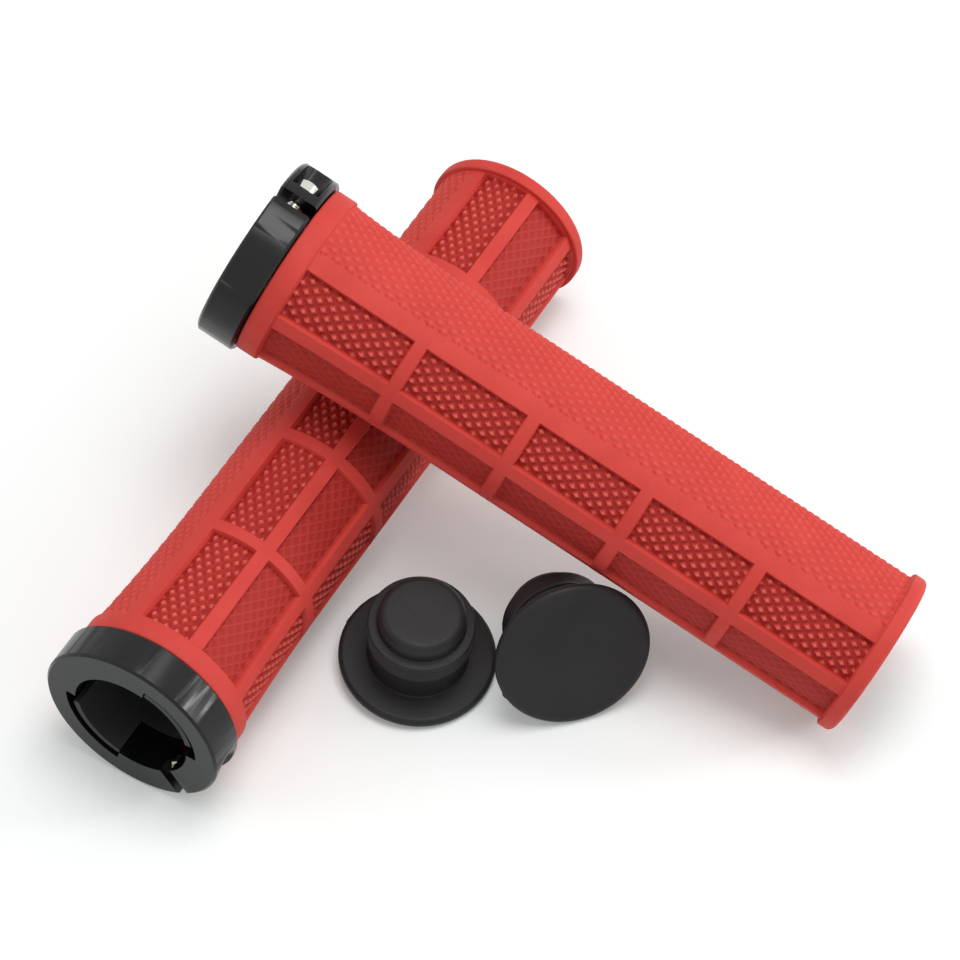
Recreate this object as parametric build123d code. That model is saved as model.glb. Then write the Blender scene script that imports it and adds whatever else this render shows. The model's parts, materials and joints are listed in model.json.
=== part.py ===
"""A pair of lock-on handlebar grips with their two bar end plugs, laid out as a set.

Each grip is a rubber sleeve moulded on a hard core tube, held on the bar at its inboard end by a
split clamp collar with one socket screw. One grip lies on the table, the other leans across it,
and the two push-in end plugs lie in front. All sizes are in millimetres.
"""
from build123d import *
from math import asin, atan2, cos, degrees, hypot, radians, sin, sqrt
import os

# --- the handlebar the set fits ---
bar_radius = 11.1           # 22.2 mm bar
bar_wall = 1.65             # at the bar's end, where the plug goes in
bar_slip = 0.03             # core tube over the bar
clamp_slack = 0.2           # open collar over the bar

# --- grip, measured along its axis from the collar's front face ---
grip_length = 131.4
collar_width = 7.4
collar_gap = 0.2            # between the collar and the sleeve
core_wall = 1.1
bond_gap = 0.02             # sleeve over core, in one body
pocket_floor = 1.15         # rubber left under the pockets
pocket_depth = 1.3          # from the crest of the ribs
inner_ring_rise = 1.6       # over the straight body
inner_ring_length = 4.3
flare_rise = 1.1            # of the rib crest just outboard of the inner ring
flare_length = 30.0         # from the inner ring to where the body is straight
end_ring_rise = 0.9
end_ring_length = 3.0
end_round = 1.2
ring_round = 0.4

# --- waffle of pockets over half the sleeve ---
pocket_rows = 4
pocket_arc = 35.5           # degrees
rib_arc = 10.7              # degrees between two rows
pocket_columns = 5
rib_width = 2.5             # between two columns
outer_pocket_extra = 1.5    # the first and last columns are longer than the others

# --- core tangs and the collar recesses they sit in ---
tang_arc = 64.0             # degrees
recess_arc = 78.0           # degrees
recess_gap = 0.95           # radial
tang_setback = 0.4          # from the collar's front face

# --- clamp collar ---
collar_chamfer = 0.45
slit_width = 2.6
seat_wall = 2.4             # from the slit to the head's seat
inner_cover = 0.5           # metal between the bore and the screw hole
outer_cover = 2.3           # metal outside the screw
tap_runout = 1.35           # tapped hole past the screw's end
bolt_hole_slack = 0.2
thread_slack = 0.05
head_slack = 0.15

# --- M3 socket screw with a small head ---
shank_radius = 1.5
shank_length = 10.0
head_radius = 2.5
head_height = 2.8
head_chamfer = 0.25
hex_across_flats = 2.5
hex_depth = 1.6
seat_gap = 0.05

# --- end plug, measured from the middle of its crowned outer face ---
flange_overlap = 3.0        # of the flange over the bar's outside
flange_crown = 1.0          # rise of the outer face over its rounded rim
flange_back = 3.2
flange_round = 0.9
neck_slack = 0.55           # of the neck in the bar
lip_squeeze = 0.15          # of the lip in the bar
lip_start = 9.9
lip_length = 4.1
lip_chamfer = 0.3
tip_slack = 1.65            # of the tip in the bar
tip_length = 3.8
tip_round = 1.6

# --- how the set lies ---
table_heading = 30.2        # lower grip, degrees from +Y towards +X, collar to outer end
lean_heading = 118.75       # upper grip, the same way
cross_on_lower = 76.3       # where the two axes come nearest, along the lower grip
cross_on_upper = 31.6       # and along the upper grip
rest_gap = 0.3              # between the two grips where they cross
roll_lower = -16.4          # first pocket row's edge from straight up, degrees about the axis
roll_upper = 25.6
slit_from_row = 155.0       # the slit's place from the first row's edge, tangs centred
slit_play_lower = 6.0       # the collar turned in its tang play
slit_play_upper = 174.0     # the same, and turned half round
plug_from_grip = 1.06       # standing plug's flange clear of the lower grip, seen from above
standing_plug_lean = 6.5    # it leans on its crowned face
standing_plug_heading = 139.4     # the way it leans
plug_row_heading = 103.5    # from the standing plug to the lying one, a flange's width apart
lying_plug_heading = 163.5  # the way its outer face looks
lying_plug_gap = 0.67       # between it and the upper grip

# --- worked out from the sizes above ---
core_inner = bar_radius + bar_slip
core_outer = core_inner + core_wall
recess_radius = core_outer + recess_gap
sleeve_inner = core_outer + bond_gap
body_radius = sleeve_inner + pocket_floor + pocket_depth   # crest of the ribs and the knurled half
inner_ring_radius = body_radius + inner_ring_rise
flare_radius = body_radius + flare_rise
end_ring_radius = body_radius + end_ring_rise
sleeve_start = collar_width + collar_gap
pocket_start = sleeve_start + inner_ring_length
pocket_end = grip_length - end_ring_length
flare_end = pocket_start + flare_length
row_pitch = pocket_arc + rib_arc
clamp_radius = bar_radius + clamp_slack
bolt_offset = clamp_radius + inner_cover + bolt_hole_slack + shank_radius
collar_radius = bolt_offset + shank_radius + outer_cover
seat_offset = slit_width / 2 + seat_wall    # both from the middle of the slit
tapped_depth = shank_length - seat_offset - seat_gap + tap_runout
bar_inside = bar_radius - bar_wall
neck_radius = bar_inside - neck_slack
lip_radius = bar_inside + lip_squeeze
tip_radius = bar_inside - tip_slack
lip_end = lip_start + lip_length
plug_length = lip_end + tip_length
flange_radius = bar_radius + flange_overlap
flange_rim = flange_radius - flange_round
crown_radius = (flange_rim**2 + flange_crown**2) / (2 * flange_crown)


def surface_radius(along):
    """Radius of the rib crest at a distance along the grip."""
    if along >= flare_end:
        return body_radius
    share = (flare_end - along) / flare_length
    return body_radius + (flare_radius - body_radius) * share**2


def ring(inner, outer, start, length):
    """A plain tube about the local Z axis."""
    disc = Circle(outer) - Circle(inner)
    return Pos(0, 0, start) * extrude(disc, length)


def rod(radius, start, length):
    """A round bar about the local Z axis."""
    return Pos(0, 0, start) * extrude(Circle(radius), length)


def sector(inner, outer, start, length, middle, arc):
    """Part of a tube, centred on the angle middle."""
    outline = Rectangle(outer - inner, length, align=(Align.MIN, Align.MIN))
    swept = revolve(Plane.XZ * Pos(inner, start) * outline, Axis.Z, arc)
    return Rot(0, 0, middle - arc / 2) * swept


def pocket_columns_along():
    """Start and end of each column of pockets along the grip."""
    room = pocket_end - pocket_start - rib_width * (pocket_columns - 1)
    length = (room - 2 * outer_pocket_extra) / pocket_columns
    spans = []
    start = pocket_start
    for column in range(pocket_columns):
        outermost = column in (0, pocket_columns - 1)
        end = start + length + (outer_pocket_extra if outermost else 0)
        spans.append((start, end))
        start = end + rib_width
    return spans


def pocket(start, end, first_angle):
    """The space of one pocket, whose floor follows the rib crest at pocket_depth."""
    clear = inner_ring_radius + 1
    corners = [
        (surface_radius(start) - pocket_depth, start),
        (clear, start),
        (clear, end),
        (surface_radius(end) - pocket_depth, end),
    ]
    outline = make_face(Plane.XZ * Polyline(*corners, close=True))
    return Rot(0, 0, first_angle) * revolve(outline, Axis.Z, pocket_arc)


def rubber_sleeve():
    """Rubber sleeve with its two smooth rings, flared body and waffle of pockets."""
    ring_end = pocket_start
    bore = [(sleeve_inner, grip_length), (sleeve_inner, sleeve_start)]
    inner_ring = [
        (inner_ring_radius - ring_round, sleeve_start),
        (inner_ring_radius, sleeve_start + ring_round),
        (inner_ring_radius, ring_end - ring_round),
        (flare_radius, ring_end),
    ]
    end_ring = [
        (body_radius, pocket_end),
        (end_ring_radius, pocket_end + ring_round),
        (end_ring_radius, grip_length - end_round),
    ]
    end_corner = (end_ring_radius - end_round, grip_length)
    flare_middle = (ring_end + flare_end) / 2
    lines = Polyline(end_corner, *bore, *inner_ring)
    flare = ThreePointArc(
        (flare_radius, ring_end),
        (surface_radius(flare_middle), flare_middle),
        (body_radius, flare_end),
    )
    straight = Polyline((body_radius, flare_end), *end_ring)
    rounded = RadiusArc(end_ring[-1], end_corner, -end_round)
    outline = make_face(Plane.XZ * (Curve() + [lines, flare, straight, rounded]))
    sleeve = revolve(outline, Axis.Z)
    for row in range(pocket_rows):
        for start, end in pocket_columns_along():
            sleeve -= pocket(start, end, row * row_pitch)
    return sleeve


def core_tube():
    """Hard core tube with two tangs that key it to the collar."""
    tube = ring(core_inner, core_outer, sleeve_start, grip_length - sleeve_start)
    tang_length = sleeve_start - tang_setback
    for side in (-90, 90):
        middle = slit_from_row + side
        tube += sector(core_inner, core_outer, tang_setback, tang_length, middle, tang_arc)
    return tube


def bolt_axis_plane(offset):
    """Plane square to the bolt, its normal pointing out of the head; the slit is at angle 0."""
    return Plane(
        origin=(bolt_offset, -offset, collar_width / 2), x_dir=(1, 0, 0), z_dir=(0, -1, 0)
    )


def along_bolt(radius, start, end):
    """A round bar on the bolt's axis between two distances from the middle of the slit."""
    return extrude(bolt_axis_plane(start) * Circle(radius), end - start)


def clamp_collar():
    """Split collar: bore, two tang recesses, slit, screw hole and an open pocket for the head."""
    collar = ring(clamp_radius, collar_radius, 0, collar_width)
    rim = collar.edges().filter_by(GeomType.CIRCLE).group_by(SortBy.RADIUS)[-1]
    collar = chamfer(rim, collar_chamfer)
    for side in (-90, 90):
        collar -= sector(bar_radius, recess_radius, 0, collar_width, side, recess_arc)
    slit = Box(collar_radius, slit_width, collar_width, align=(Align.MIN, Align.CENTER, Align.MIN))
    collar -= slit
    collar -= along_bolt(shank_radius + bolt_hole_slack, 0, seat_offset)
    collar -= along_bolt(shank_radius + thread_slack, -tapped_depth, 0)
    pocket_radius = head_radius + head_slack
    collar -= along_bolt(pocket_radius, seat_offset, collar_radius)
    mouth = Box(
        collar_radius,
        collar_radius,
        2 * pocket_radius,
        align=(Align.MIN, Align.MAX, Align.CENTER),
    )
    collar -= Pos(bolt_offset, -seat_offset, collar_width / 2) * mouth
    return collar


def clamp_bolt():
    """Socket screw across the slit: head in the collar's pocket, end in its tapped hole."""
    seat = seat_offset + seat_gap
    head = along_bolt(head_radius, seat, seat + head_height)
    crown = head.edges().filter_by(GeomType.CIRCLE).sort_by(Axis.Y)[0]
    head = chamfer(crown, head_chamfer)
    key = RegularPolygon(hex_across_flats / 2, 6, major_radius=False)
    head -= extrude(bolt_axis_plane(seat + head_height - hex_depth) * key, hex_depth)
    return head + along_bolt(shank_radius, seat - shank_length, seat)


def crown_height(radius):
    """How far the plug's crowned outer face has fallen back at a radius."""
    return crown_radius - sqrt(crown_radius**2 - radius**2)


def end_plug():
    """Push-in plug: crowned flange, neck, sealing lip and a rounded tip."""
    face_middle = (flange_rim / 2, crown_height(flange_rim / 2))
    face = ThreePointArc((0, 0), face_middle, (flange_rim, flange_crown))
    front_round = CenterArc((flange_rim, flange_crown + flange_round), flange_round, -90, 90)
    edge = Line(
        (flange_radius, flange_crown + flange_round), (flange_radius, flange_back - flange_round)
    )
    back_round = CenterArc((flange_rim, flange_back - flange_round), flange_round, 0, 90)
    stem = Polyline(
        (flange_rim, flange_back),
        (neck_radius, flange_back),
        (neck_radius, lip_start),
        (lip_radius - lip_chamfer, lip_start),
        (lip_radius, lip_start + lip_chamfer),
        (lip_radius, lip_end - lip_chamfer),
        (lip_radius - lip_chamfer, lip_end),
        (tip_radius, lip_end),
        (tip_radius, plug_length - tip_round),
    )
    tip_flat = tip_radius - tip_round
    tip_corner = CenterArc((tip_flat, plug_length - tip_round), tip_round, 0, 90)
    closing = Polyline((tip_flat, plug_length), (0, plug_length), (0, 0))
    lines = [face, front_round, edge, back_round, stem, tip_corner, closing]
    return revolve(make_face(Plane.XZ * (Curve() + lines)), Axis.Z)


def axis_direction(heading, tilt):
    """Unit vector towards a heading, dipping by tilt degrees."""
    level = cos(radians(tilt))
    return Vector(
        sin(radians(heading)) * level, cos(radians(heading)) * level, -sin(radians(tilt))
    )


def upright_plane(start, direction):
    """Local frame with its origin at start, Z along direction and X as near up as it goes."""
    up = Vector(0, 0, 1) - direction * direction.Z
    return Plane(origin=start, x_dir=up.normalized(), z_dir=direction)


def resting_tilt(reach, drop, bulge):
    """Dip of an axis whose two contacts are reach apart along it and drop apart in radius."""
    return degrees(asin(bulge / hypot(reach, drop)) + atan2(drop, reach))


def lower_grip_plane():
    """The lower grip rests on its collar's edge and on its rounded end ring."""
    collar_contact = collar_width - collar_chamfer
    reach = grip_length - end_round - collar_contact
    tilt = resting_tilt(reach, collar_radius - end_ring_radius + end_round, -end_round)
    height = collar_radius * cos(radians(tilt)) + collar_contact * sin(radians(tilt))
    return upright_plane(Vector(0, 0, height), axis_direction(table_heading, tilt))


def upper_grip_plane(lower):
    """The upper grip leans across the lower one, its end ring on the table."""
    crossing = lower.origin + lower.z_dir * cross_on_lower
    spacing = surface_radius(cross_on_lower) + surface_radius(cross_on_upper) + rest_gap
    flat, steep = 0.0, 45.0
    for _ in range(50):
        tilt = (flat + steep) / 2
        direction = axis_direction(lean_heading, tilt)
        normal = direction.cross(lower.z_dir).normalized()
        start = crossing + normal * spacing - direction * cross_on_upper
        end_height = start.Z + direction.Z * (grip_length - end_round)
        foot = end_height - (end_ring_radius - end_round) * cos(radians(tilt)) - end_round
        if foot > 0:
            flat = tilt
        else:
            steep = tilt
    return upright_plane(start, direction)


def standing_plug_plane(spot):
    """A plug leaning on its crowned outer face, whose middle is at spot."""
    lift = crown_radius * (1 - cos(radians(standing_plug_lean)))
    direction = axis_direction(standing_plug_heading, standing_plug_lean - 90)
    return Plane(origin=spot + Vector(0, 0, lift), z_dir=direction)


def lying_plug_plane(spot):
    """A plug on its side, touching the table with its flange's rim and its lip."""
    contact = flange_back - flange_round
    dip = resting_tilt(lip_end - lip_chamfer - contact, flange_rim - lip_radius, flange_round)
    direction = axis_direction(lying_plug_heading + 180, dip)
    height = flange_rim * cos(radians(dip)) + flange_round
    return upright_plane(spot + Vector(0, 0, height) - direction * contact, direction)


def gap_beside(plug, grip):
    """Least gap between the outer circles of a plug and a grip."""
    gaps = []
    edges = (
        (flange_radius, flange_back - flange_round),
        (lip_radius, lip_end),
        (tip_radius, plug_length - tip_round),
    )
    for radius, along in edges:
        for turn in range(0, 360, 5):
            point = plug.from_local_coords(
                Vector(radius * cos(radians(turn)), radius * sin(radians(turn)), along)
            )
            away = point - grip.origin
            place = away.dot(grip.z_dir)
            gaps.append((away - grip.z_dir * place).length - surface_radius(place))
    return min(gaps)


def plug_planes(upper):
    """Both plugs, beside the lower grip and as near the upper one as the gap lets the lying one."""
    across = axis_direction(table_heading + 90, 0) * (body_radius + flange_radius + plug_from_grip)
    apart = axis_direction(plug_row_heading, 0) * (2 * flange_radius)
    near, far = 0.0, cross_on_lower
    for _ in range(30):
        along = (near + far) / 2
        spot = across + axis_direction(table_heading, 0) * along
        lying = lying_plug_plane(spot + apart)
        if gap_beside(lying, upper) > lying_plug_gap:
            near = along
        else:
            far = along
    return standing_plug_plane(spot), lying


lower = lower_grip_plane()
upper = upper_grip_plane(lower)
standing, lying = plug_planes(upper)

pieces = {}
for side, plane, roll, play in (
    ("lower", lower, roll_lower, slit_play_lower),
    ("upper", upper, roll_upper, slit_play_upper),
):
    turned_sleeve = plane * Rot(0, 0, roll)
    turned_collar = plane * Rot(0, 0, roll + slit_from_row + play)
    pieces[f"rubber_sleeve_{side}"] = turned_sleeve * rubber_sleeve()
    pieces[f"core_tube_{side}"] = turned_sleeve * core_tube()
    pieces[f"clamp_collar_{side}"] = turned_collar * clamp_collar()
    pieces[f"clamp_bolt_{side}"] = turned_collar * clamp_bolt()
pieces["end_plug_standing"] = standing * end_plug()
pieces["end_plug_lying"] = lying * end_plug()

# The origin is the middle of the set's footprint, on the table.
box = Compound(list(pieces.values())).bounding_box()
to_origin = Pos(-box.center().X, -box.center().Y, -box.min.Z)

os.makedirs("parts", exist_ok=True)
for name, piece in pieces.items():
    export_step(to_origin * piece, f"parts/{name}.step")
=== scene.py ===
"""Looks of a pair of lock-on handlebar grips with their bar end plugs.

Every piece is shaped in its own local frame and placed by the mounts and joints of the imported
record. A grip's local Z runs along its axis from the collar's front face. Sizes are in millimetres
until MM turns them into metres, and angles are in degrees. The stage and its lamps are in metres.
"""

import json
import math

import bmesh
import bpy
import numpy as np
from mathutils import Matrix, Vector


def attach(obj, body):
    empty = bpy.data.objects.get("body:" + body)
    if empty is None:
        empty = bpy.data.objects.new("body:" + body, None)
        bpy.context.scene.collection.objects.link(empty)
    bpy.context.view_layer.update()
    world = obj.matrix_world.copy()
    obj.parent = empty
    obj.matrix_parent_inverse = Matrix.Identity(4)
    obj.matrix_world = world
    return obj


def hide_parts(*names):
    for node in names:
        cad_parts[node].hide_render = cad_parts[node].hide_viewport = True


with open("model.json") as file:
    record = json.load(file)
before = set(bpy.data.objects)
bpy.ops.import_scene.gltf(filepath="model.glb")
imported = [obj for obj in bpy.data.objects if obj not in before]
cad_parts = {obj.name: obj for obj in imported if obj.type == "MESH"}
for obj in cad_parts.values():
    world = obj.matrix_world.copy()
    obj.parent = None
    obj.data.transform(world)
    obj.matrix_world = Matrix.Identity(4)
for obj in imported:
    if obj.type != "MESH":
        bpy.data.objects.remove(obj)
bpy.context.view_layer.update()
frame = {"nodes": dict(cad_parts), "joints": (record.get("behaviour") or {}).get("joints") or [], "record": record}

MM = 0.001
MOUNTS = {mount["name"]: mount for mount in frame["record"]["mounts"]}
JOINTS = {joint["name"]: joint for joint in frame["joints"]}

# --- sleeve, along the grip from the collar's front face ---
GRIP_LENGTH = 131.4
COLLAR_WIDTH = MOUNTS["bar_clamp_lower"]["dims"]["length_mm"]
COLLAR_GAP = 0.2            # between the collar's back face and the sleeve
SLEEVE_START = COLLAR_WIDTH + COLLAR_GAP
SLEEVE_INNER = 12.25
BODY_RADIUS = 14.7
INNER_RING_RADIUS = 16.3
INNER_RING_LENGTH = 4.3
FLARE_RADIUS = 15.8
FLARE_LENGTH = 30.0
END_RING_RADIUS = 15.6
END_RING_LENGTH = 3.0
END_ROUND = 1.2             # outer edge of the end ring
END_INNER_ROUND = 0.35      # its inner edge
RING_ROUND = 0.4            # both edges of the inner ring
RING_LEAN = 70              # turn of a ring's edge towards the pockets, before its foot
RING_SETBACK = 0.15         # of the inner ring's edge from the pockets
END_SETBACK = 0.1           # and of the end ring's
RING_FOOT = 0.13            # width of the sloping foot of a ring
POCKET_START = SLEEVE_START + INNER_RING_LENGTH
POCKET_END = GRIP_LENGTH - END_RING_LENGTH
FLARE_END = POCKET_START + FLARE_LENGTH
SLEEVE_SHARP = 62           # edges of the sleeve over this angle stay sharp

# --- pockets; angles from the first row's edge ---
POCKET_ROWS = 4
POCKET_ARC = 35.5
RIB_ARC = 10.7
ROW_PITCH = POCKET_ARC + RIB_ARC
POCKET_COLUMNS = 5
RIB_WIDTH = 2.5
OUTER_POCKET_EXTRA = 1.5
POCKET_DEPTH = 1.3
PYRAMID_ROWS = (0, 2)       # the other rows carry a fine raised net
ROLL = {"lower": -16.4, "upper": 25.6}      # first row's edge from straight up

# --- diamond lattice shared by the knurled half and the pockets ---
CELLS_AROUND = 43
CELL_LENGTH = 2.76          # along the grip
CELL_STEPS = 8              # grid lines across one cell
KNURL_DEPTH = 0.44
KNURL_SLOPE = 1.2           # over 1, so that each tooth has a flat top
PYRAMID_HEIGHT = 0.66
PYRAMID_EDGE = 0.8          # share of the diamond where a pyramid meets the pocket's floor
PYRAMID_SLOPE_RUN = 0.62    # share of the diamond that its side takes; the rest is its flat top
NET_HEIGHT = 0.2
NET_HALF_WIDTH = 0.3
WHOLE_SHARE = 0.8           # share of a diamond that has to fit for it to be raised or cut
WALL_LEAD = 0.12            # rounding of a pocket's edge, outside it
WALL_RUN = 0.28             # and inside it, with the wall's draft
WALL_LINES = np.array([-WALL_LEAD, -0.03, 0.08, 0.18, WALL_RUN])    # grid lines across that edge
CLOSEST_LINES = 0.055       # a regular grid line nearer than this to another is left out
RAISED_FROM = 0.5           # share of the pocket's depth from which its pattern is raised

# --- painted highlight, as the share of a paler colour painted on the top of each pattern, where light catches it ---
HIGHLIGHT_FROM = 0.9             # share of the pocket's depth from which its pattern gets the painted highlight
PYRAMID_HIGHLIGHT_RAMP = (2.4, -1.3)     # slope and start of the painted highlight, over the height
NET_HIGHLIGHT = 0.16
KNURL_HIGHLIGHT = 0.4
KNURL_HIGHLIGHT_RAMP = (2.5, -1.5)

# --- collar, with its slit at the local angle 0 ---
COLLAR_RADIUS = 17.3
COLLAR_CHAMFER = 0.45
COLLAR_EDGE = 0.1           # bevel left on its other edges
BEVELLED_OVER = 28          # edges over this angle get it
COLLAR_SHARP = 10
CLAMP_RADIUS = MOUNTS["bar_clamp_lower"]["dims"]["r_mm"]
RECESS_RADIUS = 13.18
RECESS_HALF_ARC = 39.0
SLIT_HALF = 1.3
BOLT_OFFSET = 13.5
SEAT_OFFSET = 3.7
TAPPED_DEPTH = 7.6
BOLT_HOLE_RADIUS = 1.7
TAPPED_RADIUS = 1.55
HEAD_POCKET_RADIUS = 2.65
CUT_OVERLAP = 0.1           # by which the screw's hole runs on into the head's pocket

# --- screw, from the head's seat ---
SEAT_GAP = 0.05
SHANK_RADIUS = 1.5
SHANK_LENGTH = 10.0
POINT_CHAMFER = 0.3
UNTHREADED_LENGTH = 0.4     # under the head
THREAD_PITCH = 0.5
THREAD_DEPTH = 0.27
THREAD_LINES = 12           # grid lines along one pitch
THREAD_FLANK = (1.3, -0.12)     # slope and start, so that crests and roots are flat
HEAD_RADIUS = 2.5
HEAD_HEIGHT = 2.8
HEAD_FOOT = 0.12            # chamfer at the seat
HEAD_ROUND = 0.3
HEX_HALF_FLATS = 1.25
HEX_DEPTH = 1.6
HEX_CHAMFER = 0.12
DRILL_POINT = 0.5           # cone at the bottom of the socket
BOLT_COLUMNS = 96
BOLT_SHARP = 35

# --- end plug, from the middle of its crowned outer face ---
FLANGE_RADIUS = 14.1
FLANGE_CROWN = 1.0
FLANGE_BACK = 3.2
FLANGE_ROUND = 0.9
FACE_SHOULDER = 2.2         # width of the face's soft outer edge
NECK_RADIUS = 8.9
NECK_FILLET = 0.35
NECK_TOP_ROUND = 0.1
LIP_RADIUS = MOUNTS["plug_lip_lying"]["dims"]["r_mm"]
LIP_START = 9.9
LIP_END = 14.0
LIP_BEAD = 0.2              # radius of the bead at its foot
LIP_HOLLOW = 0.12           # between that bead and its top edge
HOLLOW_START = 0.7          # above the lip's foot
LIP_ROUND = 0.45
TIP_FILLET = 0.3
TIP_RADIUS = 7.8
TIP_ROUND = 1.6
PLUG_LENGTH = 17.8
PLUG_POLE = 0.4             # radius of the smallest ring about the axis
PLUG_COLUMNS = 160
PLUG_SHARP = 50
GATE_TURN = -28             # stub of the mould's gate, on the flange's rim
GATE_HEIGHT = 0.6           # as a share of the flange's thickness
GATE_LIFT = 0.35
GATE_WIDTH = 0.7

# --- camera ---
CAMERA_TARGET = Vector((-1.5, 8.5, 0.0)) * MM
CAMERA_ELEVATION = math.radians(54.05)
CAMERA_DISTANCE = 816.3 * MM
CAMERA_LENS = 166.8

# --- stage, in metres and watts ---
FLOOR_HALF = 3.0
FLOOR_COLOUR = (0.85, 0.86, 0.86, 1)
FLOOR_GLOW_COLOUR = (0.88, 1, 0.95, 1)
FLOOR_GLOW = 0.15           # only in the camera's view, in reflections and through clear pieces
WORLD_LIGHT = 0.53          # what lights the pieces
WORLD_SEEN = 1.0            # what the camera, reflections and clear pieces show
LAMPS = (                   # name, place, width, height, power
    ("overhead", (0.12, 0.02, 0.95), 0.5, 0.5, 4.5),
    ("left_soft", (-0.9, -0.1, 0.55), 0.35, 0.4, 0.8),
    ("right_low", (0.94, 0.02, 0.36), 0.16, 0.3, 2.6),
    ("right_back", (0.85, 0.33, 0.42), 0.22, 0.22, 0.8),
)


# ---------------------------------------------------------------- mesh helpers

def grid_mesh(name, points, closed_ends, sharp_angle):
    """Mesh of a grid of points, rows by columns by 3, in millimetres. Columns always wrap round.

    Rows wrap round too, unless closed_ends gives the two middle points that close the grid. Edges
    over the sharp angle stay sharp.
    """
    rows, columns, _ = points.shape
    vertices = points.reshape(-1, 3)
    first = np.arange(rows if closed_ends is None else rows - 1)[:, None] * columns
    second = ((first // columns + 1) % rows) * columns
    here = np.arange(columns)[None, :]
    after = (here + 1) % columns
    quads = np.stack([first + here, first + after, second + after, second + here], axis=-1)
    faces = quads.reshape(-1, 4).tolist()
    if closed_ends is not None:
        start, end = len(vertices), len(vertices) + 1
        last = (rows - 1) * columns
        vertices = np.vstack([vertices, closed_ends])
        for column in range(columns):
            following = (column + 1) % columns
            faces.append([start, following, column])
            faces.append([end, last + column, last + following])
    mesh = bpy.data.meshes.new(name)
    mesh.from_pydata((vertices * MM).tolist(), [], faces)
    mesh.validate()
    mark_sharp(mesh, sharp_angle)
    return mesh


def mark_sharp(mesh, angle):
    """Smooth shading, with the edges over an angle kept sharp."""
    mesh.shade_smooth()
    shaped = bmesh.new()
    shaped.from_mesh(mesh)
    bmesh.ops.recalc_face_normals(shaped, faces=shaped.faces)
    limit = math.radians(angle)
    for edge in shaped.edges:
        edge.smooth = len(edge.link_faces) == 2 and edge.calc_face_angle() < limit
    shaped.to_mesh(mesh)
    shaped.free()


def full_turn(columns):
    """Angles of evenly spaced columns, in radians."""
    return np.linspace(0, 2 * np.pi, columns, endpoint=False)


def turned(radius, height, angles):
    """Grid of points from radii and heights about Z, at angles in radians."""
    radius, height, angles = np.broadcast_arrays(radius, height, angles)
    return np.stack([radius * np.cos(angles), radius * np.sin(angles), height], axis=-1)


def arc(centre_radius, centre_height, radius, start, end, steps):
    """Points of a profile's arc, with angles from the radius direction towards the height."""
    angles = np.radians(np.linspace(start, end, steps))
    return [
        (centre_radius + radius * math.cos(a), centre_height + radius * math.sin(a)) for a in angles
    ]


def smooth_step(share):
    """Soft rise from 0 to 1."""
    share = np.clip(share, 0, 1)
    return share * share * (3 - 2 * share)


def ramp(share, slope_and_start):
    """Straight rise over a share, kept between 0 and 1."""
    slope, start = slope_and_start
    return np.clip(share * slope + start, 0, 1)


def with_extra_lines(regular, extra, closest):
    """Sorted grid lines: the extra ones, and the regular ones that are not too near one of them."""
    extra = np.unique(np.round(extra, 5))
    clear = np.abs(regular[:, None] - extra[None, :]).min(axis=1) > closest
    return np.sort(np.concatenate([regular[clear], extra]))


# ---------------------------------------------------------------- rubber sleeve

def crest_radius(along):
    """Radius of the rib crest at a distance along the grip."""
    share = np.clip((FLARE_END - along) / FLARE_LENGTH, 0, 1)
    return BODY_RADIUS + (FLARE_RADIUS - BODY_RADIUS) * share**2


def column_spans():
    """Start and end of each column of pockets along the grip."""
    room = POCKET_END - POCKET_START - RIB_WIDTH * (POCKET_COLUMNS - 1)
    length = (room - 2 * OUTER_POCKET_EXTRA) / POCKET_COLUMNS
    spans = []
    start = POCKET_START
    for column in range(POCKET_COLUMNS):
        outermost = column in (0, POCKET_COLUMNS - 1)
        end = start + length + (OUTER_POCKET_EXTRA if outermost else 0)
        spans.append((start, end))
        start = end + RIB_WIDTH
    return spans


def lattice(angle, along):
    """Distance of points from their diamond's middle, 1 at its edge, and the middle's angle."""
    around = angle * CELLS_AROUND / 360
    length = along / CELL_LENGTH
    first, second = np.floor(length + around), np.floor(length - around)
    off_first = np.abs(length + around - first - 0.5)
    off_second = np.abs(length - around - second - 0.5)
    middle = (first - second) / 2 * 360 / CELLS_AROUND
    return 2 * np.maximum(off_first, off_second), middle


def is_whole(middle, start, end):
    """Whether a diamond lies between two angles, give or take a little."""
    half = 0.5 * 360 / CELLS_AROUND * WHOLE_SHARE
    return (middle > start + half) & (middle < end - half)


def wall_share(inside):
    """Share of the full depth at a distance inside a pocket's edge."""
    return smooth_step((inside + WALL_LEAD) / (WALL_LEAD + WALL_RUN))


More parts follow.
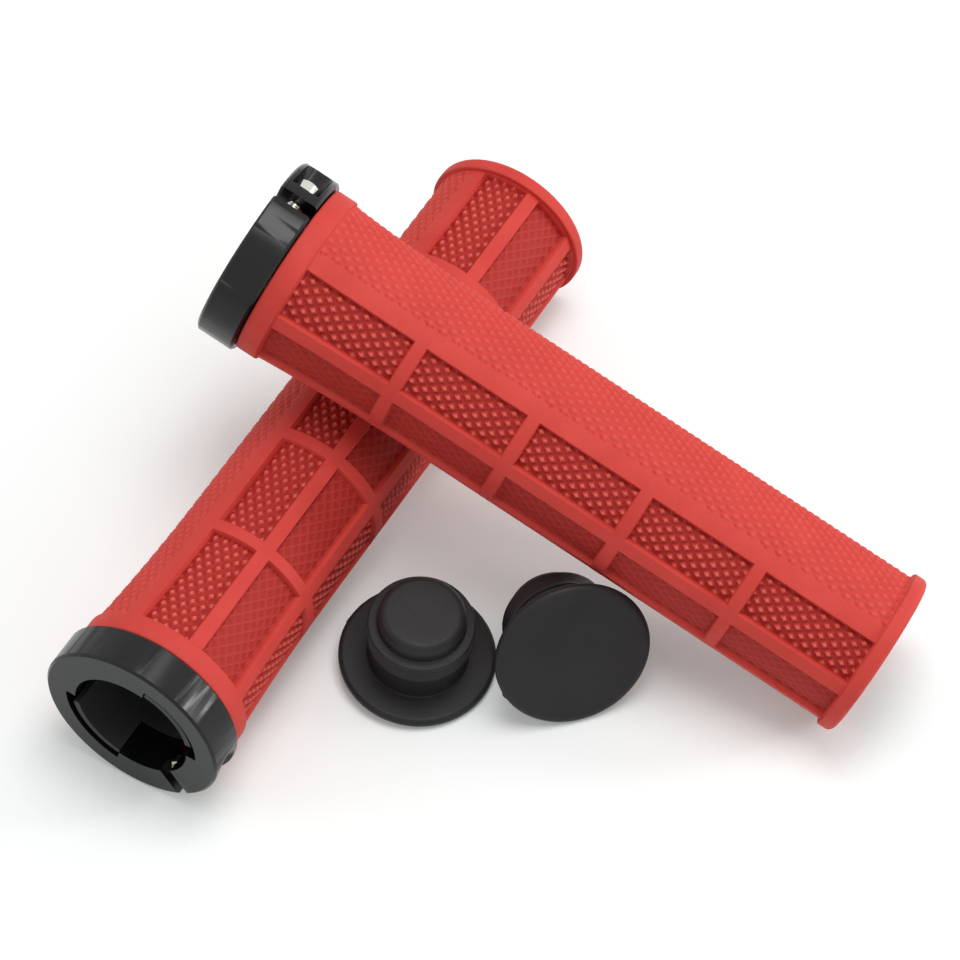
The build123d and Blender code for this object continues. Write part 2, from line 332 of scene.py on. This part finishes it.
def sleeve_relief(angle, along):
    """Depth under the rib crest and share of painted highlight on the pattern's tops, over the patterned part of
    the sleeve.
    """
    depth = np.zeros(np.broadcast(angle, along).shape)
    painted_highlight = np.zeros(depth.shape)
    millimetres = np.radians(1) * BODY_RADIUS
    off, middle = lattice(angle, along)
    line_spacing = CELL_LENGTH * 360 / CELLS_AROUND * millimetres
    line_spacing /= math.hypot(CELL_LENGTH, 360 / CELLS_AROUND * millimetres)
    pyramid = np.clip((PYRAMID_EDGE - off) / PYRAMID_SLOPE_RUN, 0, 1)
    net = np.clip(1 - (1 - off) / 2 * line_spacing / NET_HALF_WIDTH, 0, 1)
    for row in range(POCKET_ROWS):
        start = row * ROW_PITCH
        end = start + POCKET_ARC
        inside_arc = np.minimum(angle - start, end - angle) * millimetres
        if row in PYRAMID_ROWS:
            raised = PYRAMID_HEIGHT * pyramid * is_whole(middle, start, end)
            tip = ramp(pyramid, PYRAMID_HIGHLIGHT_RAMP)
        else:
            raised = NET_HEIGHT * net
            tip = net * NET_HIGHLIGHT
        for low, high in column_spans():
            inside = np.minimum(inside_arc, np.minimum(along - low, high - along))
            wall = wall_share(inside)
            depth = np.maximum(depth, wall * (POCKET_DEPTH - raised * (wall > RAISED_FROM)))
            painted_highlight = np.maximum(painted_highlight, tip * (wall > HIGHLIGHT_FROM))
    start = POCKET_ROWS * ROW_PITCH
    end = 360 - RIB_ARC
    inside = np.minimum(angle - start, end - angle) * millimetres
    inside = np.minimum(inside, np.minimum(along - POCKET_START, POCKET_END - along))
    patterned = wall_share(inside) * is_whole(middle, start, end)
    tooth = np.clip((1 - off) * KNURL_SLOPE, 0, 1)
    # painted highlight on the tops of the knurl's teeth
    painted_highlight = np.maximum(painted_highlight, KNURL_HIGHLIGHT * ramp(tooth, KNURL_HIGHLIGHT_RAMP) * patterned)
    return np.maximum(depth, KNURL_DEPTH * (1 - tooth) * patterned), painted_highlight


def around_lines():
    """Angles of the sleeve's grid lines: the lattice's own, and those across each edge."""
    millimetres = np.radians(1) * BODY_RADIUS
    starts = [row * ROW_PITCH for row in range(POCKET_ROWS + 1)]
    ends = [row * ROW_PITCH + POCKET_ARC for row in range(POCKET_ROWS)] + [360 - RIB_ARC]
    edges = [start + WALL_LINES / millimetres for start in starts]
    edges += [end - WALL_LINES / millimetres for end in ends]
    steps = CELLS_AROUND * CELL_STEPS
    regular = np.arange(steps) * 360 / steps
    return with_extra_lines(regular, np.concatenate(edges) % 360, CLOSEST_LINES / millimetres)


def along_lines():
    """Places of the patterned part's grid lines along the grip, chosen in the same way."""
    edges = [low + WALL_LINES for low, high in column_spans()]
    edges += [high - WALL_LINES for low, high in column_spans()]
    step = CELL_LENGTH / CELL_STEPS
    regular = np.arange(math.ceil(POCKET_START / step), math.ceil(POCKET_END / step)) * step
    return with_extra_lines(regular, np.concatenate(edges), CLOSEST_LINES)


def sleeve_mesh():
    """Closed rubber sleeve with its rings, flare, waffle of pockets and diamond knurl."""
    angles = around_lines()
    places = along_lines()
    ring_middle = INNER_RING_RADIUS - RING_ROUND
    ring_low = arc(ring_middle, SLEEVE_START + RING_ROUND, RING_ROUND, -90, 0, 6)
    edge_height = POCKET_START - RING_SETBACK - RING_ROUND
    ring_high = arc(ring_middle, edge_height, RING_ROUND, 0, RING_LEAN, 6)
    foot = (float(crest_radius(POCKET_START)), POCKET_START - RING_FOOT)
    body = [(float(crest_radius(place)), place) for place in places]
    end_foot = (BODY_RADIUS, POCKET_END + RING_FOOT)
    edge_height = POCKET_END + END_SETBACK + END_INNER_ROUND
    edge_middle = (END_RING_RADIUS - END_INNER_ROUND, edge_height)
    end_low = arc(*edge_middle, END_INNER_ROUND, -RING_LEAN, 0, 6)
    end_high = arc(END_RING_RADIUS - END_ROUND, GRIP_LENGTH - END_ROUND, END_ROUND, 0, 90, 12)
    middle = (END_RING_RADIUS, (end_low[-1][1] + end_high[0][1]) / 2)
    bore = [
        (SLEEVE_INNER, GRIP_LENGTH),
        (SLEEVE_INNER, (GRIP_LENGTH + SLEEVE_START) / 2),
        (SLEEVE_INNER, SLEEVE_START),
    ]
    before = bore + ring_low + ring_high + [foot]
    profile = np.array(before + body + [end_foot] + end_low + [middle] + end_high)
    depth = np.zeros((len(profile), len(angles)))
    painted_highlight = np.zeros(depth.shape)
    rows = slice(len(before), len(before) + len(body))
    depth[rows], painted_highlight[rows] = sleeve_relief(angles[None, :], places[:, None])
    points = turned(profile[:, :1] - depth, profile[:, 1:], np.radians(angles))
    mesh = grid_mesh("rubber_sleeve", points, None, SLEEVE_SHARP)
    # the relief also sets the painted shade in the rubber's colour, and the tip share sets its painted highlight
    for label, values in (("relief", depth / POCKET_DEPTH), ("worn_tip", painted_highlight)):
        attribute = mesh.attributes.new(label, "FLOAT", "POINT")
        attribute.data.foreach_set("value", values.astype(np.float32).ravel())
    return mesh


# ---------------------------------------------------------------- clamp collar

def collar_outline(radius_cut):
    """Outline of the collar seen along its axis, as points round the outside and back inside."""
    outer_radius = COLLAR_RADIUS - radius_cut
    slit_outer = math.asin(SLIT_HALF / outer_radius)
    outer = np.linspace(slit_outer, 2 * np.pi - slit_outer, 241)
    points = [(outer_radius * math.cos(a), outer_radius * math.sin(a)) for a in outer]
    slit_inner = math.degrees(math.asin(SLIT_HALF / CLAMP_RADIUS))
    low, high = 90 - RECESS_HALF_ARC, 90 + RECESS_HALF_ARC
    stretches = [
        (CLAMP_RADIUS, 360 - slit_inner, 360 - low, 25),
        (RECESS_RADIUS, 360 - low, 360 - high, 49),
        (CLAMP_RADIUS, 360 - high, high, 65),
        (RECESS_RADIUS, high, low, 49),
        (CLAMP_RADIUS, low, slit_inner, 25),
    ]
    for radius, start, end, steps in stretches:
        inner = np.radians(np.linspace(start, end, steps))
        points += [(radius * math.cos(a), radius * math.sin(a)) for a in inner]
    return np.array(points)


def cutter(shape, matrix):
    """Object that cuts the collar, from a bmesh shape placed by a matrix."""
    bmesh.ops.transform(shape, matrix=matrix, verts=shape.verts)
    mesh = bpy.data.meshes.new("cutter")
    shape.to_mesh(mesh)
    shape.free()
    piece = bpy.data.objects.new("cutter", mesh)
    bpy.context.scene.collection.objects.link(piece)
    return piece


def bolt_cutter(radius, start, end):
    """Round bar on the bolt's axis, from start to end along the head's side, in millimetres."""
    shape = bmesh.new()
    bmesh.ops.create_cone(
        shape,
        cap_ends=True,
        segments=64,
        radius1=radius * MM,
        radius2=radius * MM,
        depth=(end - start) * MM,
    )
    place = Vector((BOLT_OFFSET, -(start + end) / 2, COLLAR_WIDTH / 2)) * MM
    return cutter(shape, Matrix.Translation(place) @ Matrix.Rotation(math.radians(90), 4, "X"))


def collar_mesh():
    """Split collar with two tang recesses, screw hole and an open pocket for the head."""
    stations = [
        (COLLAR_CHAMFER, 0),
        (0, COLLAR_CHAMFER),
        (0, COLLAR_WIDTH - COLLAR_CHAMFER),
        (COLLAR_CHAMFER, COLLAR_WIDTH),
    ]
    rings = []
    for cut, height in stations:
        outline = collar_outline(cut)
        rings.append(np.column_stack([outline, np.full(len(outline), height)]))
    count = len(rings[0])
    vertices = np.vstack(rings) * MM
    faces = []
    for station in range(len(stations) - 1):
        low, high = station * count, (station + 1) * count
        for i in range(count):
            after = (i + 1) % count
            faces.append([low + i, low + after, high + after, high + i])
    faces.append(list(range(count))[::-1])
    faces.append([len(vertices) - count + i for i in range(count)])
    mesh = bpy.data.meshes.new("clamp_collar")
    mesh.from_pydata(vertices.tolist(), [], faces)
    shaped = bpy.data.objects.new("collar_blank", mesh)
    bpy.context.scene.collection.objects.link(shaped)

    mouth = bmesh.new()
    bmesh.ops.create_cube(mouth, size=1)
    size = Vector((COLLAR_RADIUS, COLLAR_RADIUS, 2 * HEAD_POCKET_RADIUS)) * MM
    corner = Vector((BOLT_OFFSET, -SEAT_OFFSET, COLLAR_WIDTH / 2)) * MM
    middle = corner + Vector((size.x / 2, -size.y / 2, 0))
    cutters = [
        bolt_cutter(BOLT_HOLE_RADIUS, 0, SEAT_OFFSET + CUT_OVERLAP),
        bolt_cutter(TAPPED_RADIUS, -TAPPED_DEPTH, 0),
        bolt_cutter(HEAD_POCKET_RADIUS, SEAT_OFFSET, COLLAR_RADIUS),
        cutter(mouth, Matrix.Translation(middle) @ Matrix.Diagonal((*size, 1))),
    ]
    for piece in cutters:
        cut = shaped.modifiers.new("cut", "BOOLEAN")
        cut.object = piece
        cut.operation = "DIFFERENCE"
        cut.solver = "EXACT"
    edge = shaped.modifiers.new("edge", "BEVEL")
    edge.width = COLLAR_EDGE * MM
    edge.segments = 2
    edge.limit_method = "ANGLE"
    edge.angle_limit = math.radians(BEVELLED_OVER)
    bpy.context.view_layer.update()
    finished = bpy.data.meshes.new_from_object(
        shaped.evaluated_get(bpy.context.evaluated_depsgraph_get())
    )
    for piece in cutters + [shaped]:
        bpy.data.objects.remove(piece)
    finished.name = "clamp_collar"
    mark_sharp(finished, COLLAR_SHARP)
    return finished


# ---------------------------------------------------------------- screw

def bolt_mesh():
    """Socket screw with a threaded shank, from its point up to the bottom of its hex socket."""
    angles = full_turn(BOLT_COLUMNS)
    rows = []

    def row(radius, height):
        """Adds one ring of the turned shape."""
        rows.append(turned(radius, height, angles))

    for height in np.arange(-SHANK_LENGTH, -UNTHREADED_LENGTH, THREAD_PITCH / THREAD_LINES):
        turn = np.abs(((height / THREAD_PITCH - angles / (2 * np.pi)) % 1) - 0.5) * 2
        fading = min(1.0, (-UNTHREADED_LENGTH - height) / THREAD_PITCH)
        depth = THREAD_DEPTH * ramp(turn, THREAD_FLANK) * fading
        chamfer = max(0.0, POINT_CHAMFER - height - SHANK_LENGTH)
        row(SHANK_RADIUS - depth - chamfer, height)
    row(SHANK_RADIUS, -UNTHREADED_LENGTH)
    row(SHANK_RADIUS, 0)
    row(HEAD_RADIUS - HEAD_FOOT, 0)
    row(HEAD_RADIUS, HEAD_FOOT)
    row(HEAD_RADIUS, HEAD_HEIGHT - HEAD_ROUND)
    for angle in np.radians([20, 45, 70]):
        inward = HEAD_ROUND * (1 - math.cos(angle))
        row(HEAD_RADIUS - inward, HEAD_HEIGHT - HEAD_ROUND * (1 - math.sin(angle)))
    row(HEAD_RADIUS - HEAD_ROUND, HEAD_HEIGHT)
    sixth = np.pi / 3
    hexagon = HEX_HALF_FLATS / np.cos((angles % sixth) - sixth / 2)
    corner = HEX_HALF_FLATS / math.cos(sixth / 2)
    row(np.maximum(hexagon + HEX_CHAMFER, corner), HEAD_HEIGHT)
    row(hexagon, HEAD_HEIGHT - HEX_CHAMFER)
    row(hexagon, HEAD_HEIGHT - HEX_DEPTH)
    ends = [(0, 0, -SHANK_LENGTH), (0, 0, HEAD_HEIGHT - HEX_DEPTH - DRILL_POINT)]
    return grid_mesh("clamp_bolt", np.array(rows), ends, BOLT_SHARP)


# ---------------------------------------------------------------- end plug

def plug_profile():
    """Radius and height from the middle of the crowned face to the middle of the tip."""
    rim = FLANGE_RADIUS - FLANGE_ROUND
    crown = (rim**2 + FLANGE_CROWN**2) / (2 * FLANGE_CROWN)
    shoulder = FLANGE_RADIUS - FACE_SHOULDER
    profile = [
        (radius, crown - math.sqrt(crown**2 - radius**2))
        for radius in np.linspace(PLUG_POLE, shoulder, 26)
    ]
    start = profile[-1][1]
    rise = FLANGE_CROWN + FLANGE_ROUND - start
    for angle in np.radians(np.linspace(-82, 0, 12)):
        radius = shoulder + FACE_SHOULDER * math.cos(angle)
        profile.append((radius, start + rise * (1 + math.sin(angle))))
    profile += arc(rim, FLANGE_BACK - FLANGE_ROUND, FLANGE_ROUND, 0, 90, 9)
    fillet_middle = (NECK_RADIUS + NECK_FILLET, FLANGE_BACK + NECK_FILLET)
    profile += arc(*fillet_middle, NECK_FILLET, -90, -180, 6)
    top_middle = (NECK_RADIUS + NECK_TOP_ROUND, LIP_START - NECK_TOP_ROUND)
    profile += arc(*top_middle, NECK_TOP_ROUND, 180, 90, 3)
    profile += arc(LIP_RADIUS - LIP_BEAD, LIP_START + LIP_BEAD, LIP_BEAD, -90, 60, 7)
    hollow = LIP_RADIUS - LIP_HOLLOW
    profile += [(hollow, LIP_START + HOLLOW_START), (hollow, LIP_END - 2 * LIP_ROUND)]
    profile += arc(LIP_RADIUS - LIP_ROUND, LIP_END - LIP_ROUND, LIP_ROUND, 0, 90, 7)
    profile += arc(TIP_RADIUS + TIP_FILLET, LIP_END + TIP_FILLET, TIP_FILLET, -90, -180, 5)
    profile += arc(TIP_RADIUS - TIP_ROUND, PLUG_LENGTH - TIP_ROUND, TIP_ROUND, 0, 90, 10)
    return profile + [(radius, PLUG_LENGTH) for radius in (4.2, 2.2, PLUG_POLE)]


def plug_mesh():
    """Push-in plug: crowned flange, neck, sealing lip, rounded tip and the stub of its gate."""
    profile = np.array(plug_profile())
    radius, height = profile[:, :1], profile[:, 1:]
    angles = full_turn(PLUG_COLUMNS)
    away = np.hypot(
        (angles - math.radians(GATE_TURN) + np.pi) % (2 * np.pi) - np.pi,
        (height - FLANGE_BACK * GATE_HEIGHT) / FLANGE_RADIUS,
    )
    on_rim = radius > FLANGE_RADIUS - FLANGE_ROUND
    lift = GATE_LIFT * np.clip(1 - away * FLANGE_RADIUS / GATE_WIDTH, 0, 1) * on_rim
    points = turned(radius + lift, height, angles)
    return grid_mesh("end_plug", points, [(0, 0, 0), (0, 0, PLUG_LENGTH)], PLUG_SHARP)


# ---------------------------------------------------------------- materials

class Nodes:
    """Short way to write a material's nodes."""

    def __init__(self, name):
        self.material = bpy.data.materials.new(name)
        self.material.use_nodes = True
        self.tree = self.material.node_tree
        self.shader = self.tree.nodes["Principled BSDF"]

    def add(self, kind, inputs=None, **settings):
        """New node with settings, and with values or sockets for its inputs."""
        node = self.tree.nodes.new(kind)
        for key, value in settings.items():
            setattr(node, key, value)
        for key, value in (inputs or {}).items():
            self.put(value, node.inputs[key])
        return node

    def put(self, value, socket):
        """Links a socket to an input, or sets the input to a plain value."""
        if isinstance(value, bpy.types.NodeSocket):
            self.tree.links.new(value, socket)
        else:
            socket.default_value = value

    def shade(self, **inputs):
        """Fills inputs of the main shader, with underscores for the spaces in their names."""
        for key, value in inputs.items():
            self.put(value, self.shader.inputs[key.replace("_", " ")])

    def noise(self, scale, detail):
        """Noise over the object, with its scale per metre."""
        place = self.add("ShaderNodeTexCoord").outputs["Object"]
        inputs = {"Vector": place, "Scale": scale, "Detail": detail}
        return self.add("ShaderNodeTexNoise", inputs).outputs["Fac"]

    def attribute(self, name):
        """Number that a mesh stores for each of its points."""
        return self.add("ShaderNodeAttribute", attribute_name=name).outputs["Fac"]

    def spread(self, value, to_low, to_high, low=0.3, high=0.7):
        """Stretches a range to another; the first is by default where most of a noise lies."""
        inputs = {0: value, 1: low, 2: high, 3: to_low, 4: to_high}
        return self.add("ShaderNodeMapRange", inputs).outputs[0]

    def mix(self, factor, first, second):
        """Colour between two, each an opaque red, green and blue or a socket."""
        node = self.add("ShaderNodeMix", data_type="RGBA")
        self.put(factor, node.inputs[0])
        for value, socket in ((first, node.inputs[6]), (second, node.inputs[7])):
            self.put((*value, 1) if isinstance(value, tuple) else value, socket)
        return node.outputs[2]

    def bump(self, height, distance, strength, normal=None):
        """Normal of a fine relief, on top of another one if there is one."""
        inputs = {"Height": height, "Distance": distance * MM, "Strength": strength}
        if normal is not None:
            inputs["Normal"] = normal
        return self.add("ShaderNodeBump", inputs).outputs["Normal"]


def rubber():
    """Matte moulded rubber, with painted shade that makes it a darker, deeper red down in the pockets, and a
    painted highlight that makes the tips paler.
    """
    nodes = Nodes("red_rubber")
    cloudy = nodes.noise(140, 3)
    fine = nodes.noise(2600, 2)
    crest = nodes.mix(nodes.spread(cloudy, 0, 1), (0.55, 0.044, 0.034), (0.60, 0.054, 0.042))
    # painted shade: the deeper a point lies in a pocket, the darker and deeper red its colour
    recess_shade = nodes.spread(nodes.attribute("relief"), 0, 1, low=0.45, high=0.95)
    base = nodes.mix(recess_shade, crest, (0.37, 0.018, 0.013))
    # painted highlight: paler colour on the tops of the pyramids, net lines and knurl teeth
    painted_highlight = nodes.mix(nodes.attribute("worn_tip"), base, (0.70, 0.13, 0.10))
    uneven = nodes.bump(nodes.noise(420, 3), 0.05, 0.5)
    nodes.shade(Base_Color=painted_highlight, Normal=nodes.bump(fine, 0.02, 0.6, uneven))
    nodes.shade(Roughness=nodes.spread(fine, 0.56, 0.72), Specular_IOR_Level=0.26)
    return nodes.material


def moulded_plastic(name, colour, smoothest, roughest, grain):
    """Black moulded plastic with a spark-eroded grain, in a colour and clouds a third paler."""
    nodes = Nodes(name)
    cloudy = nodes.noise(90, 3)
    fine = nodes.noise(grain, 2)
    paler = tuple(1.35 * part for part in colour)
    nodes.shade(Base_Color=nodes.mix(nodes.spread(cloudy, 0, 1), colour, paler))
    nodes.shade(Roughness=nodes.spread(fine, smoothest, roughest), Specular_IOR_Level=0.18)
    nodes.shade(Normal=nodes.bump(fine, 0.03, 0.7))
    return nodes.material


def anodised():
    """Satin black anodised aluminium with faint smudges."""
    nodes = Nodes("black_anodised_aluminium")
    smudge = nodes.noise(180, 3)
    nodes.shade(Base_Color=nodes.mix(smudge, (0.003, 0.003, 0.0032), (0.006, 0.006, 0.0063)))
    nodes.shade(Roughness=nodes.spread(smudge, 0.2, 0.27), Specular_IOR_Level=0.3)
    nodes.shade(Normal=nodes.bump(nodes.noise(2200, 2), 0.004, 0.5))
    return nodes.material


def zinc():
    """Bright zinc-plated steel with a faint yellow cast."""
    nodes = Nodes("zinc_steel")
    smudge = nodes.noise(700, 3)
    nodes.shade(Base_Color=nodes.mix(smudge, (0.66, 0.63, 0.56), (0.76, 0.74, 0.69)))
    nodes.shade(Roughness=nodes.spread(smudge, 0.1, 0.2), Metallic=1.0)
    nodes.shade(Normal=nodes.bump(nodes.noise(3000, 2), 0.004, 0.5))
    return nodes.material


CORE_BLACK = (0.034, 0.033, 0.034)
PLUG_BLACK = (0.018, 0.0168, 0.0184)
MATERIALS = {
    "red_rubber": rubber(),
    "black_core_plastic": moulded_plastic("black_core_plastic", CORE_BLACK, 0.42, 0.55, 1500),
    "black_plug_plastic": moulded_plastic("black_plug_plastic", PLUG_BLACK, 0.4, 0.5, 1900),
    "black_anodised_aluminium": anodised(),
    "zinc_steel": zinc(),
}


# ---------------------------------------------------------------- stage

def strength_by_ray(tree, lighting, seen):
    """Strength for the rays that light the pieces, and for those that see the background.

    The second kind are the camera's, and the ones that a reflection or a clear piece sends on.
    """
    path = tree.nodes.new("ShaderNodeLightPath").outputs
    sees = path["Is Camera Ray"]
    for kind in ("Is Glossy Ray", "Is Transmission Ray"):
        either = tree.nodes.new("ShaderNodeMath")
        either.operation = "MAXIMUM"
        tree.links.new(sees, either.inputs[0])
        tree.links.new(path[kind], either.inputs[1])
        sees = either.outputs[0]
    strength = tree.nodes.new("ShaderNodeMapRange")
    strength.inputs[3].default_value = lighting
    strength.inputs[4].default_value = seen
    tree.links.new(sees, strength.inputs[0])
    return strength.outputs[0]


def build_floor():
    """Pale floor that keeps shadows and glows a little where it is seen."""
    nodes = Nodes("floor")
    nodes.shade(Base_Color=FLOOR_COLOUR, Roughness=0.9, Specular_IOR_Level=0.1)
    glow = strength_by_ray(nodes.tree, 0, FLOOR_GLOW)
    nodes.shade(Emission_Color=FLOOR_GLOW_COLOUR, Emission_Strength=glow)
    half = FLOOR_HALF
    corners = [(-half, -half, 0), (half, -half, 0), (half, half, 0), (-half, half, 0)]
    mesh = bpy.data.meshes.new("floor")
    mesh.from_pydata(corners, [], [(0, 1, 2, 3)])
    mesh.materials.append(nodes.material)
    floor = bpy.data.objects.new("floor", mesh)
    bpy.context.scene.collection.objects.link(floor)


def build_world():
    """Even white light from all round."""
    world = bpy.data.worlds.new("studio")
    bpy.context.scene.world = world
    world.use_nodes = True
    tree = world.node_tree
    background = tree.nodes["Background"]
    strength = strength_by_ray(tree, WORLD_LIGHT, WORLD_SEEN)
    tree.links.new(strength, background.inputs["Strength"])
    background.inputs["Color"].default_value = (1, 1, 1, 1)


def build_lamps():
    """Soft rectangular lamps that face the origin."""
    for name, place, width, height, power in LAMPS:
        lamp = bpy.data.lights.new(name, "AREA")
        lamp.shape = "RECTANGLE"
        lamp.size, lamp.size_y = width, height
        lamp.energy = power
        holder = bpy.data.objects.new(name, lamp)
        holder.location = place
        holder.rotation_euler = (-Vector(place)).to_track_quat("-Z", "Y").to_euler()
        bpy.context.scene.collection.objects.link(holder)


def build_camera():
    """Camera that looks down at the set from the front."""
    camera = bpy.data.cameras.new("camera")
    camera.lens = CAMERA_LENS
    camera.sensor_width = 36
    camera.clip_start, camera.clip_end = 0.05, 20
    holder = bpy.data.objects.new("camera", camera)
    back = Vector((0, -math.cos(CAMERA_ELEVATION), math.sin(CAMERA_ELEVATION)))
    holder.location = CAMERA_TARGET + back * CAMERA_DISTANCE
    holder.rotation_euler = (math.radians(90) - CAMERA_ELEVATION, 0, 0)
    bpy.context.scene.collection.objects.link(holder)
    bpy.context.scene.camera = holder
    bpy.context.scene.view_settings.view_transform = "Standard"


# ---------------------------------------------------------------- placing

def frame_matrix(origin, x_axis, z_axis):
    """Matrix of a local frame from its origin, X and Z axes."""
    z_axis = z_axis.normalized()
    x_axis = (x_axis - z_axis * x_axis.dot(z_axis)).normalized()
    axes = Matrix((x_axis, z_axis.cross(x_axis), z_axis)).transposed()
    return Matrix.Translation(origin) @ axes.to_4x4()


def grip_matrix(side):
    """Local frame of a grip: Z along it from the collar's front face, X as near up as it goes."""
    clamp = MOUNTS[f"bar_clamp_{side}"]
    along = -Vector(clamp["axis"])
    front = Vector(clamp["pos_m"]) - along * COLLAR_WIDTH / 2 * MM
    return frame_matrix(front, Vector((0, 0, 1)), along)


def collar_matrix(side):
    """Local frame of a collar: as its grip's, with X through the slit and the screw."""
    grip = grip_matrix(side)
    along = grip.col[2].to_3d()
    head_side = Vector(JOINTS[f"{side}_bolt_turn"]["axis"])
    return frame_matrix(grip.translation, along.cross(head_side), along)


def bolt_matrix(side):
    """Local frame of a screw: origin at the head's seat, Z out of the head."""
    turn = JOINTS[f"{side}_bolt_turn"]
    outward = Vector(turn["axis"])
    seat = Vector(turn["pos_m"]) + outward * SEAT_GAP * MM
    return frame_matrix(seat, grip_matrix(side).col[2].to_3d(), outward)


def plug_matrix(name):
    """Local frame of a plug: origin at the middle of its outer face, Z towards its tip."""
    lip = MOUNTS[f"plug_lip_{name}"]
    inward = Vector(lip["axis"])
    face = Vector(lip["pos_m"]) - inward * (LIP_START + LIP_END) / 2 * MM
    return frame_matrix(face, Vector((-1, 0, 0)), inward)


def add_piece(name, mesh, matrix, body, node, slot):
    """Puts a placed copy of a mesh in the scene as the piece that stands for a CAD node.

    The copy's points are in the shared frame, so that its box is as tight as the CAD node's.
    """
    placed = mesh.copy()
    placed.transform(matrix)
    placed.update()
    placed.materials.append(MATERIALS[slot])
    piece = bpy.data.objects.new(name, placed)
    bpy.context.scene.collection.objects.link(piece)
    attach(piece, body)
    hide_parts(node)


def dress_cad_node(node, slot):
    """Gives a CAD node that stays in view its material."""
    piece = frame["nodes"][node]
    piece.data.materials.clear()
    piece.data.materials.append(MATERIALS[slot])


# ---------------------------------------------------------------- the set

sleeve = sleeve_mesh()
collar = collar_mesh()
bolt = bolt_mesh()
plug = plug_mesh()
for side in ("lower", "upper"):
    rolled = grip_matrix(side) @ Matrix.Rotation(math.radians(ROLL[side]), 4, "Z")
    node = f"rubber_sleeve_{side}"
    add_piece(f"waffle_{node}", sleeve, rolled, f"{side}_grip", node, "red_rubber")
    dress_cad_node(f"core_tube_{side}", "black_core_plastic")
    node = f"clamp_collar_{side}"
    place = collar_matrix(side)
    add_piece(f"split_{node}", collar, place, f"{side}_collar", node, "black_anodised_aluminium")
    node = f"clamp_bolt_{side}"
    add_piece(f"socket_{node}", bolt, bolt_matrix(side), f"{side}_bolt", node, "zinc_steel")
for name in ("standing", "lying"):
    node = f"end_plug_{name}"
    place = plug_matrix(name)
    add_piece(f"moulded_{node}", plug, place, f"{name}_plug", node, "black_plug_plastic")

build_floor()
build_world()
build_lamps()
build_camera()
